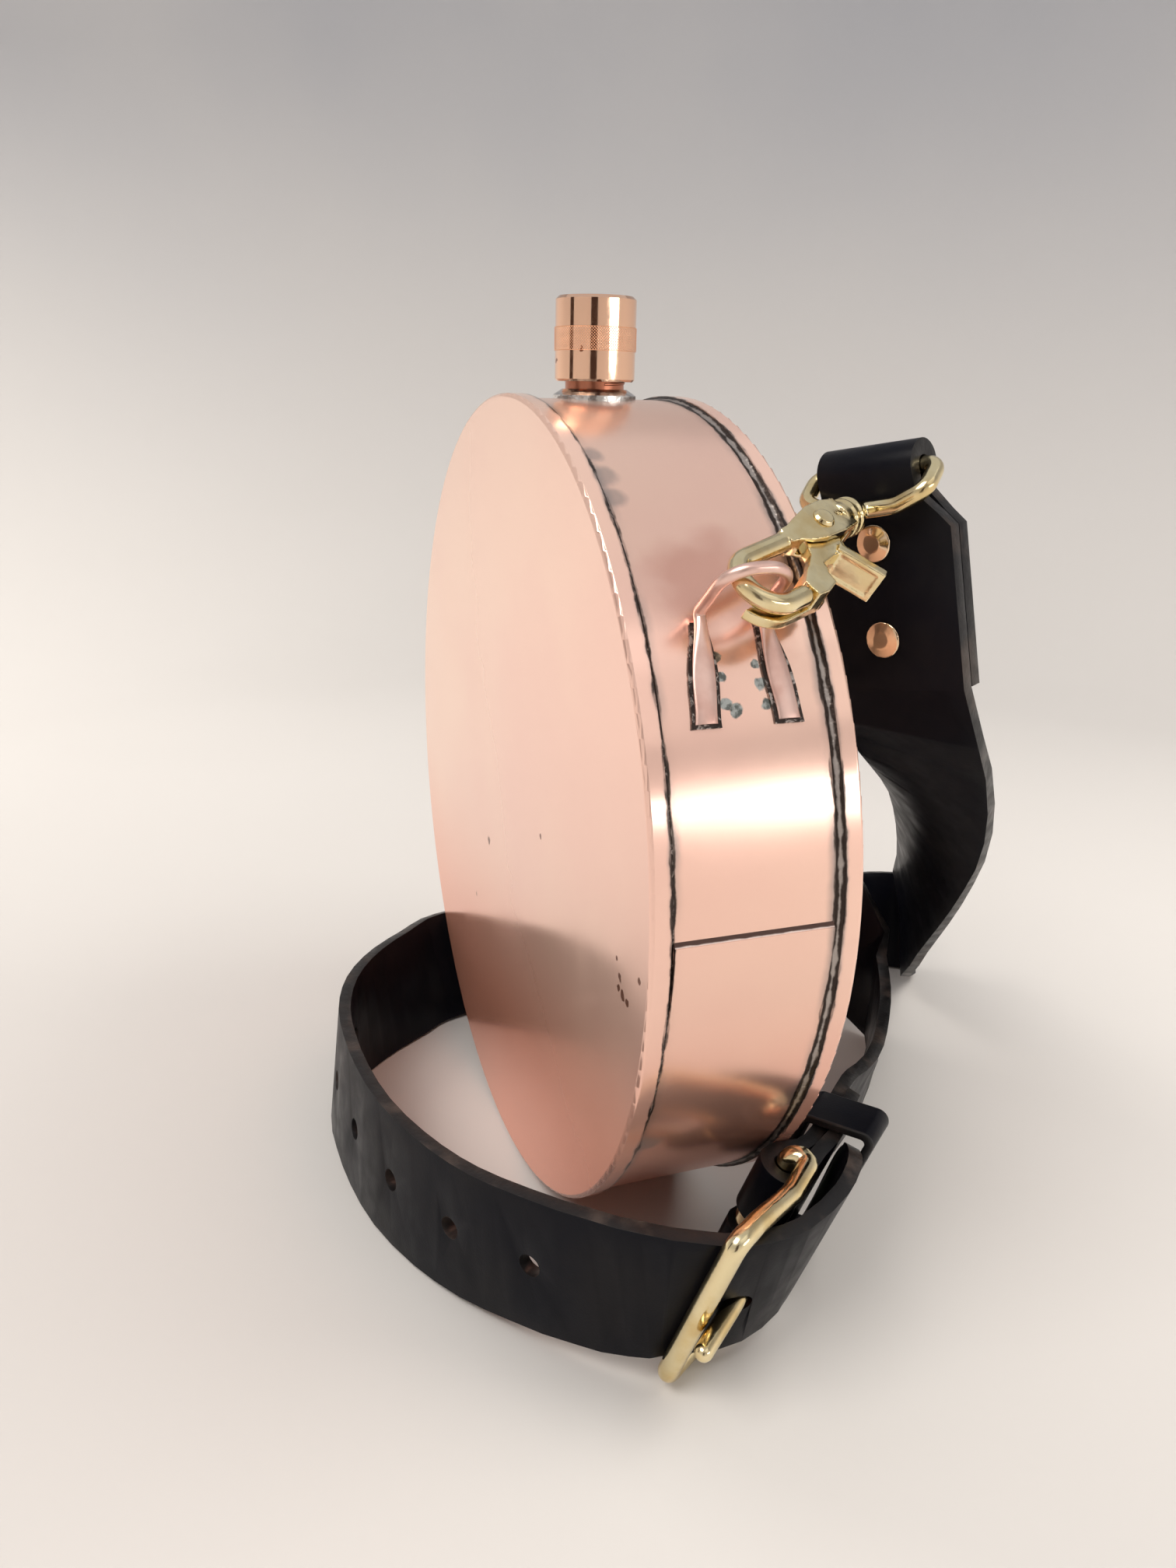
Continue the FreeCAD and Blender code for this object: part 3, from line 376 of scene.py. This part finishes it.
def rear_solder():
    """The wide rear seam: wiped bright along its middle, black at its edges."""
    f = Finish("rear_solder", (0.3, 0.27, 0.25), 0.4, 0.9)
    middle = BACK_Y - LIP_END - REAR_BEAD / 2
    off = f.math("ABSOLUTE", f.math("SUBTRACT", f.split()[1], middle))
    off = f.math("ADD", off, f.uneven(300, 5, REAR_FRAY))
    f.tones(f.ramp(off, BLACK_UP_TO, BLACK_GONE_AT), SOLDER_BRIGHT, FLUX_BLACK)
    f.bump(900, 4, 0.25 * MM)
    return f.material


def lap_solder():
    """The band's lap: a pale painted highlight along its cut edge, under a thin black line of
    solder.
    """
    f = Finish("lap_solder", LAP_PAINTED_HIGHLIGHT, 0.4, 0.9)
    # Painted highlight: the pale colour low on the lap stands for light caught on its edge; the
    # black line above is solder.
    height = f.math("ADD", f.split()[2], f.uneven(300, 4, LAP_FRAY))
    f.tones(f.ramp(height, LAP_HIGHLIGHT_TO, LAP_BLACK_FROM), LAP_PAINTED_HIGHLIGHT, (0.10, 0.06, 0.05))
    return f.material


def bright_solder():
    f = Finish("bright_solder", (0.78, 0.77, 0.75), 0.22, 1.0)
    f.tones(f.ramp(f.noise(500, 4), 0.35, 0.7), (0.82, 0.81, 0.79), (0.5, 0.48, 0.46))
    f.bump(800, 3, 0.15 * MM)
    return f.material


# ---- brass, steel, rubber ----------------------------------------------------------------------
def cast_brass():
    f = Finish("cast_brass", (0.83, 0.69, 0.40), 0.16, 1.0)
    f.tones(f.ramp(f.noise(120, 4), 0.35, 0.7), (0.86, 0.74, 0.46), (0.72, 0.55, 0.27))
    f.polish(400, 3, 0.12, 0.24)
    f.bump(350, 3, 0.05 * MM, 0.5)
    return f.material


def rivet_brass():
    f = Finish("rivet_brass", (0.86, 0.66, 0.44), 0.16, 1.0)
    f.tones(f.noise(200, 3), (0.90, 0.72, 0.50), (0.80, 0.54, 0.34))
    return f.material


def spring_steel():
    f = Finish("spring_steel", (0.62, 0.61, 0.6), 0.25, 1.0)
    f.tones(f.noise(400, 3), (0.66, 0.65, 0.64), (0.46, 0.44, 0.42))
    f.polish(900, 2, 0.2, 0.35)
    return f.material


def liner_rubber():
    f = Finish("liner_rubber", (0.03, 0.03, 0.03), 0.6)
    f.tones(f.noise(250, 3), (0.022, 0.022, 0.023), (0.05, 0.048, 0.045))
    f.bump(1500, 2, 0.05 * MM)
    return f.material


# ---- leather -----------------------------------------------------------------------------------
GRAIN = (0.0032, 0.0036, 0.0066)
GRAIN_WORN = (0.008, 0.0075, 0.009)
BURNISHED = (0.008, 0.0075, 0.008)
BURNISH_WORN = (0.050, 0.037, 0.031)


def grain_leather():
    f = Finish("grain_leather", GRAIN, 0.42)
    f.tones(f.ramp(f.noise(45, 4), 0.35, 0.75), GRAIN, GRAIN_WORN)
    f.polish(150, 4, 0.30, 0.42)
    f.set("Specular IOR Level", 0.11)
    f.bump(1800, 4, 0.04 * MM, 0.6)
    return f.material


def cut_edge_leather():
    """Burnished edge: browner and drier than the grain, with worn pale flecks."""
    f = Finish("cut_edge_leather", (0.03, 0.024, 0.022), 0.42)
    f.tones(f.ramp(f.noise(110, 5), 0.48, 0.72), BURNISHED, BURNISH_WORN)
    f.polish(260, 3, 0.30, 0.5)
    f.set("Specular IOR Level", 0.35)
    f.bump(900, 4, 0.08 * MM)
    return f.material


FRONT_SHEET = cover_sheet("front_sheet", FRONT_Y, 1, FACE_MARKS)
REAR_SHEET = cover_sheet("rear_sheet", BACK_Y, -1, REAR_MARKS)
BAND_SHEET = band_sheet()
LOOP_COPPER = loop_copper()
BRIGHT_COPPER = bright_copper()
KNURL_COPPER = knurl_copper()
DARK_COPPER = dark_copper()
OLD_SOLDER = old_solder()
REAR_SOLDER = rear_solder()
LAP_SOLDER = lap_solder()
BRIGHT_SOLDER = bright_solder()
BRASS = cast_brass()
RIVET = rivet_brass()
STEEL = spring_steel()
RUBBER = liner_rubber()
LEATHER = grain_leather()
LEATHER_EDGE = cut_edge_leather()

MATERIAL_OF = {
    "band": BAND_SHEET, "front_cover": FRONT_SHEET, "rear_cover": REAR_SHEET,
    "neck": DARK_COPPER, "cap": BRIGHT_COPPER, "cap_liner": RUBBER,
    "front_seam_solder": OLD_SOLDER, "rear_seam_solder": REAR_SOLDER,
    "band_seam_solder": LAP_SOLDER, "neck_solder": BRIGHT_SOLDER,
    "right_loop": LOOP_COPPER, "left_loop": LOOP_COPPER,
    "right_loop_solder": OLD_SOLDER, "left_loop_solder": OLD_SOLDER,
    "strap_long": LEATHER, "strap_short": LEATHER, "keeper": LEATHER,
}
for name, node in nodes.items():
    if "spring" in name:
        finish = STEEL
    elif "rivet" in name:
        finish = RIVET
    else:
        finish = MATERIAL_OF.get(name, BRASS)
    node.data.materials.clear()
    node.data.materials.append(finish)


def add_object(name, bm, *finishes):
    """An object of the scene made of bm, which is freed."""
    mesh = bpy.data.meshes.new(name)
    bm.to_mesh(mesh)
    bm.free()
    for finish in finishes:
        mesh.materials.append(finish)
    made = bpy.data.objects.new(name, mesh)
    bpy.context.scene.collection.objects.link(made)
    return made


# ---- knurled grip of the cap -------------------------------------------------------------------
cap_low, cap_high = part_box("cap")
CAP_X, CAP_Y = (cap_low.x + cap_high.x) / 2, (cap_low.y + cap_high.y) / 2
KNURL_R = (cap_high.x - cap_low.x) / 2
CAP_TALL = cap_high.z - cap_low.z
KNURL_FROM, KNURL_TO = 0.36, 0.64          # of the cap's height
KNURL_TEETH = 96
KNURL_DEEP = 0.14 * MM
KNURL_LEVEL = 0.6                          # share of a cut's depth under the ring's radius
KNURL_STEPS = 6                            # faces across a tooth
KNURL_ROWS = 48
KNURL_SLEEVE = 0.25 * MM                   # the sleeve's thickness, and how far its cuts fade out
WELD = 0.002 * MM                          # corners closer than this are one


def knurled_grip():
    """A sleeve just over the cap's raised ring, cut into fine diamonds."""
    low = cap_low.z + CAP_TALL * KNURL_FROM
    tall = CAP_TALL * (KNURL_TO - KNURL_FROM)
    bm = bmesh.new()
    line = [bm.verts.new((KNURL_R, 0, low + tall * i / KNURL_ROWS)) for i in range(KNURL_ROWS + 1)]
    inner = [bm.verts.new((KNURL_R - KNURL_SLEEVE, 0, line[k].co.z)) for k in (0, -1)]
    chain = [inner[0]] + line + [inner[1]]
    edges = [bm.edges.new(pair) for pair in zip(chain, chain[1:])]
    bmesh.ops.spin(bm, geom=chain + edges, cent=(0, 0, 0), axis=(0, 0, 1), angle=math.tau,
                   steps=KNURL_TEETH * KNURL_STEPS, use_merge=True)
    bmesh.ops.remove_doubles(bm, verts=bm.verts, dist=WELD)
    for v in bm.verts:
        out = math.hypot(v.co.x, v.co.y)
        if out < KNURL_R - KNURL_SLEEVE / 2:
            continue
        turn = math.atan2(v.co.y, v.co.x) * KNURL_TEETH
        along = (v.co.z - low) / KNURL_R * KNURL_TEETH
        one = abs(math.sin((turn + along) / 2))
        two = abs(math.sin((turn - along) / 2))
        fade = min(1.0, min(v.co.z - low, low + tall - v.co.z) / KNURL_SLEEVE)
        push = (min(one, two) - KNURL_LEVEL) * KNURL_DEEP * fade
        v.co.x *= (out + push) / out
        v.co.y *= (out + push) / out
    bmesh.ops.translate(bm, verts=bm.verts, vec=(CAP_X, CAP_Y, 0))
    bmesh.ops.recalc_face_normals(bm, faces=bm.faces)
    grip = add_object("cap_grip", bm, KNURL_COPPER)
    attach(grip, "cap")


knurled_grip()


# ---- screw thread of neck and cap --------------------------------------------------------------
THREAD_PITCH = 2.0 * MM
THREAD_HALF = 0.42 * MM               # half the ridge at its foot
THREAD_FLAT = 0.12 * MM               # half the ridge at its crest
THREAD_STEPS = 64                     # to a turn
THREAD_SUNK = 0.1 * MM                # of its foot, into the wall
NECK_TALL = 12.0 * MM
NECK_BARE = 2.9 * MM                  # neck under the cap
NECK_TOP = cap_low.z - NECK_BARE + NECK_TALL
NECK_R = 7.0 * MM
BORE_R = 7.3 * MM
NECK_RIDGE, NECK_THREAD_LOW, NECK_TURNS = 0.22 * MM, NECK_TOP - 9.7 * MM, 4.4
CAP_RIDGE, CAP_THREAD_LOW, CAP_TURNS = 0.20 * MM, NECK_TOP - 8.7 * MM, 3.5


def screw_thread(name, body, finish, foot, crest, low, turns):
    """A right-handed ridge wound about the neck, from foot to crest in radius, starting low."""
    bm = bmesh.new()
    section = ((foot, -THREAD_HALF), (crest, -THREAD_FLAT), (crest, THREAD_FLAT),
               (foot, THREAD_HALF))
    ring = [bm.verts.new((r, 0, low + z)) for r, z in section]
    edges = [bm.edges.new((ring[i - 1], ring[i])) for i in range(4)]
    steps = round(turns * THREAD_STEPS)
    bmesh.ops.spin(bm, geom=ring + edges, cent=(0, 0, 0), axis=(0, 0, 1),
                   dvec=(0, 0, THREAD_PITCH * turns / steps), angle=math.tau * turns, steps=steps)
    bmesh.ops.holes_fill(bm, edges=[e for e in bm.edges if e.is_boundary], sides=4)
    bmesh.ops.translate(bm, verts=bm.verts, vec=(CAP_X, CAP_Y, 0))
    bmesh.ops.recalc_face_normals(bm, faces=bm.faces)
    ridge = add_object(name, bm, finish)
    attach(ridge, body)


screw_thread("neck_thread", "canteen", DARK_COPPER, NECK_R - THREAD_SUNK,
             NECK_R + NECK_RIDGE, NECK_THREAD_LOW, NECK_TURNS)
screw_thread("cap_thread", "cap", BRIGHT_COPPER, BORE_R + THREAD_SUNK,
             BORE_R - CAP_RIDGE, CAP_THREAD_LOW, CAP_TURNS)


# ---- leather with burnished edges, metal with worn ones ----------------------------------------
SHARP = math.radians(45)
STRAP_SIDE_AREA = 4500 * MM * MM      # a side of a strap is larger than this, a cut edge smaller
KEEPER_SIDE_AREA = 500 * MM * MM
STRAP_ROUND = 0.7 * MM
KEEPER_ROUND = 0.5 * MM

# For each hand: ends of the node's and the piece's name, voxel of its skin in mm, passes.
HOOK_CASTINGS = (("_hook_body", "_hook_casting", 0.22, 6),
                 ("_hook_lever", "_lever_casting", 0.20, 5),
                 ("_swivel_eye", "_eye_ring", 0.25, 10),
                 ("_hook_pin", "_pin_rivet", 0.12, 6))
STRAP_RIVETS = (("_rivet_1", "_strap_rivet_1", 0.20, 12), ("_rivet_2", "_strap_rivet_2", 0.20, 12))


def sides_between_sharp_edges(bm):
    """Faces in groups, split where the leather turns a corner."""
    seen, groups = set(), []
    for start in bm.faces:
        if start in seen:
            continue
        seen.add(start)
        group, waiting = [], [start]
        while waiting:
            face = waiting.pop()
            group.append(face)
            for edge in face.edges:
                if len(edge.link_faces) == 2 and edge.calc_face_angle() < SHARP:
                    for other in edge.link_faces:
                        if other not in seen:
                            seen.add(other)
                            waiting.append(other)
        groups.append(group)
    return groups


def one_skin(node):
    """A copy of a solid's mesh whose faces share their corners."""
    bm = bmesh.new()
    bm.from_mesh(nodes[node].data)
    bmesh.ops.remove_doubles(bm, verts=bm.verts, dist=WELD)
    bmesh.ops.dissolve_degenerate(bm, edges=bm.edges, dist=WELD / 2)
    return bm


def soften_leather(node, name, body, side_area, round_by):
    """A leather piece with rounded edges; its cut edges have a finish of their own."""
    bm = one_skin(node)
    for group in sides_between_sharp_edges(bm):
        is_side = sum(face.calc_area() for face in group) > side_area
        for face in group:
            face.material_index = 0 if is_side else 1
            face.smooth = True
    piece = add_object(name, bm, LEATHER, LEATHER_EDGE)
    bevel = piece.modifiers.new("burnish", "BEVEL")
    bevel.width = round_by
    bevel.segments = 3
    bevel.limit_method = "ANGLE"
    bevel.angle_limit = SHARP
    bevel.material = 1
    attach(piece, body)
    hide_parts(node)


def tumbled(node, name, finish, skin, passes):
    """A metal piece with its edges worn round, as casting and tumbling leave them."""
    piece = add_object(name, one_skin(node), finish)
    piece.data.shade_smooth()
    grain = piece.modifiers.new("casting", "REMESH")
    grain.mode = "VOXEL"
    grain.voxel_size = skin
    grain.use_smooth_shade = True
    tumble = piece.modifiers.new("tumbling", "SMOOTH")
    tumble.factor = 0.5
    tumble.iterations = passes
    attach(piece, body_of(nodes[node])[0])
    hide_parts(node)


for hand in ("right", "left"):
    for node_end, piece_end, skin, passes in HOOK_CASTINGS:
        tumbled(hand + node_end, hand + piece_end, BRASS, skin * MM, passes)
    for node_end, piece_end, skin, passes in STRAP_RIVETS:
        tumbled(hand + node_end, hand + piece_end, RIVET, skin * MM, passes)
tumbled("buckle_frame", "buckle_casting", BRASS, 0.35 * MM, 6)
tumbled("buckle_tongue", "tongue_casting", BRASS, 0.25 * MM, 6)

soften_leather("strap_long", "strap_long_leather", "canteen", STRAP_SIDE_AREA, STRAP_ROUND)
soften_leather("strap_short", "strap_short_leather", "canteen", STRAP_SIDE_AREA, STRAP_ROUND)
soften_leather("keeper", "keeper_leather", "keeper", KEEPER_SIDE_AREA, KEEPER_ROUND)


# ---- stage and light ---------------------------------------------------------------------------
STAGE_FLOOR_R = 0.55
STAGE_WALL_R = 1.0
STAGE_TOP = 1.1
STAGE_BEND_STEPS = 12
STAGE_STEPS = 96
STAGE_SHADE_FROM, STAGE_SHADE_TO = 0.01, 0.62          # above the floor; between them the wall is painted darker, a painted shade
STAGE_LOW = (0.66, 0.635, 0.61)
# Darker, bluer tone painted high on the wall: painted shade.
STAGE_HIGH_PAINTED_SHADE = (0.41, 0.415, 0.44)
STAGE_CLOUD = (0.60, 0.575, 0.55)
SKY, SKY_STRENGTH = (0.93, 0.93, 0.95, 1), 0.60
LAMP_WARM = (1.0, 0.96, 0.91)
LAMP_POOL = (1.0, 0.95, 0.88)
LAMP_WINDOW = (1.0, 0.98, 0.95)
CARD_SHADE = (0.05, 0.03, 0.025)


def stage_finish():
    f = Finish("stage_paper", (0.76, 0.73, 0.70), 0.9)
    # Painted shade: the paper darkens and cools from the floor up the wall, where less light
    # falls.
    up = f.ramp(f.split()[2], FLOOR_Z + STAGE_SHADE_FROM, FLOOR_Z + STAGE_SHADE_TO)
    tone = f.mix(up, STAGE_LOW, STAGE_HIGH_PAINTED_SHADE)
    f.tones(f.ramp(f.noise(2.2, 3), 0.3, 0.8, 0.0, 0.5), tone, STAGE_CLOUD)
    return f.material


def build_stage():
    """A pale floor that rises into a round wall, open at the top."""
    bm = bmesh.new()
    sweep = STAGE_WALL_R - STAGE_FLOOR_R
    profile = [(0.0, 0.0), (STAGE_FLOOR_R, 0.0)]
    for i in range(1, STAGE_BEND_STEPS + 1):
        a = math.pi / 2 * i / STAGE_BEND_STEPS
        profile.append((STAGE_FLOOR_R + sweep * math.sin(a), sweep * (1 - math.cos(a))))
    profile.append((STAGE_WALL_R, STAGE_TOP))
    line = [bm.verts.new((r, 0, z + FLOOR_Z)) for r, z in profile]
    edges = [bm.edges.new(pair) for pair in zip(line, line[1:])]
    bmesh.ops.spin(bm, geom=line + edges, cent=(0, 0, 0), axis=(0, 0, 1), angle=math.tau,
                   steps=STAGE_STEPS, use_merge=True)
    bmesh.ops.remove_doubles(bm, verts=bm.verts, dist=0.01 * MM)
    bmesh.ops.recalc_face_normals(bm, faces=bm.faces)
    stage = add_object("stage", bm, stage_finish())
    stage.data.shade_smooth()


def softbox(name, at, aim, size, power, colour, seen=True, mirrored=True):
    """A lamp at a place, aimed at another; seen by the camera, mirrored in the metal."""
    data = bpy.data.lights.new(name, "AREA")
    data.shape = "RECTANGLE"
    data.size, data.size_y = size
    data.energy = power
    data.color = colour
    lamp = bpy.data.objects.new(name, data)
    bpy.context.scene.collection.objects.link(lamp)
    lamp.location = at
    lamp.visible_camera = seen
    lamp.visible_glossy = mirrored
    lamp.rotation_euler = (Vector(aim) - Vector(at)).to_track_quat("-Z", "Y").to_euler()


def light_studio():
    world = bpy.data.worlds.new("studio")
    world.use_nodes = True
    sky = world.node_tree.nodes["Background"]
    sky.inputs["Color"].default_value = SKY
    sky.inputs["Strength"].default_value = SKY_STRENGTH
    bpy.context.scene.world = world
    softbox("key", (0.3, -0.75, 0.95), (0, 0, 0), (0.8, 0.6), 9.5, LAMP_WARM)
    softbox("side", (0.85, 0.30, 0.62), (0.2, 0, -0.1), (0.9, 0.8), 1.1, LAMP_WARM)
    softbox("low_window", (0.82, 0.45, 0.08), (0.1, 0, 0.02), (0.6, 0.34), 3.0, LAMP_WINDOW,
            False)
    softbox("left_pool", (-0.50, -0.34, 0.42), (-0.44, -0.28, -0.1), (0.3, 0.3), 1.8, LAMP_POOL,
            False, False)
    softbox("right_pool", (0.16, 0.42, 0.55), (0.12, 0.34, -0.1), (0.4, 0.4), 3.0, LAMP_POOL,
            False, False)


def reflector(name, at, size, shade):
    """An upright card that only polished metal sees."""
    bm = bmesh.new()
    bmesh.ops.create_grid(bm, x_segments=1, y_segments=1, size=0.5)
    bmesh.ops.scale(bm, verts=bm.verts, vec=(size[0], size[1], 1))
    facing = (Vector((0, 0, at[2])) - Vector(at)).to_track_quat("Z", "Y").to_matrix()
    bmesh.ops.rotate(bm, verts=bm.verts, cent=(0, 0, 0), matrix=facing)
    bmesh.ops.translate(bm, verts=bm.verts, vec=at)
    card = add_object(name, bm, Finish(name, shade, 0.9).material)
    card.visible_camera = False
    card.visible_diffuse = False
    card.visible_shadow = False


build_stage()
light_studio()
# Dark cards seen only in the metal: painted dark reflections standing in for the dark figure and
# room behind the camera.
reflector("dark_card", (0.66, -0.31, 0.16), (0.24, 0.44), CARD_SHADE)
reflector("dark_doorway", (0.0, -0.70, 0.20), (0.14, 0.46), CARD_SHADE)
